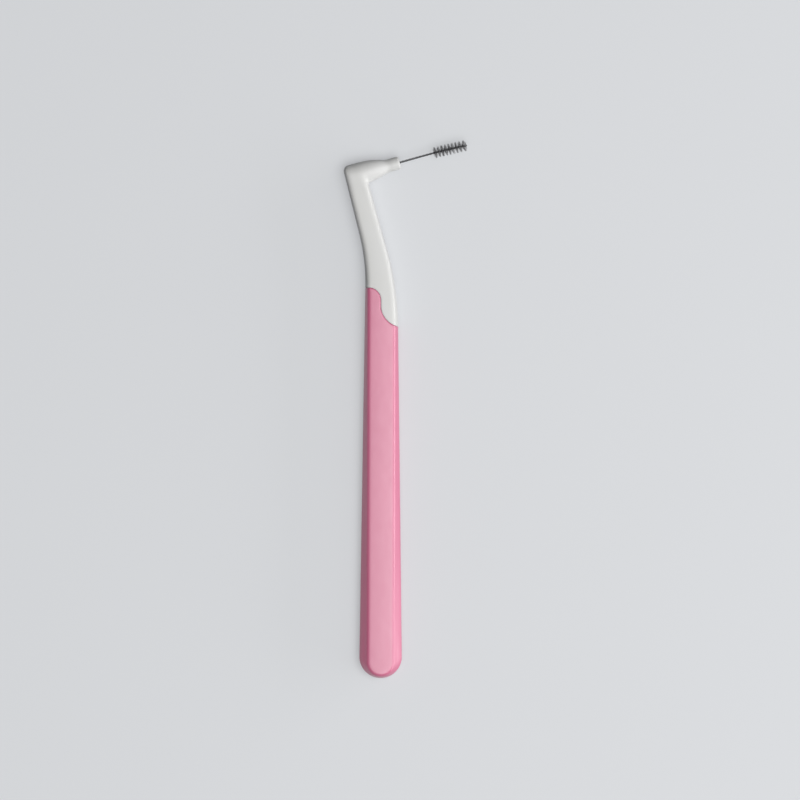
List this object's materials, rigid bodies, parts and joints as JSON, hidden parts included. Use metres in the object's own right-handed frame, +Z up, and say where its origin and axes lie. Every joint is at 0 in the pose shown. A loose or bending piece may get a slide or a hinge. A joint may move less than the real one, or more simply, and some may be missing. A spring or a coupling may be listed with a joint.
{
  "type": "interdental brush",
  "caption": "Angled interdental brush: a two-colour moulded handle with a leaning neck, a round head set across its end, and a short twisted-wire brush standing out of the head.",
  "frame": {"origin": "on the flat underside of the grip, on its centre line, 60 mm from the butt", "axes": "+Y along the grip from the butt to the head, +Z up out of the face it rests on, +X to the side that the brush points to"},
  "size_m": [0.0322, 0.1413, 0.006],
  "materials": {
    "grip_plastic": "glossy moulded plastic",
    "core_plastic": "glossy moulded plastic",
    "wire_steel": "drawn stainless wire",
    "filament_nylon": "fine nylon filament"
  },
  "bodies": {
    "root": {"grip": "grip_plastic", "handle_core": "core_plastic", "stem_wire": "wire_steel", "bristle_row_1": "filament_nylon", "bristle_row_2": "filament_nylon", "bristle_row_3": "filament_nylon", "bristle_row_4": "filament_nylon", "bristle_row_5": "filament_nylon", "bristle_row_6": "filament_nylon", "bristle_row_7": "filament_nylon", "bristle_row_8": "filament_nylon", "bristle_row_9": "filament_nylon"}
  },
  "joints": []
}
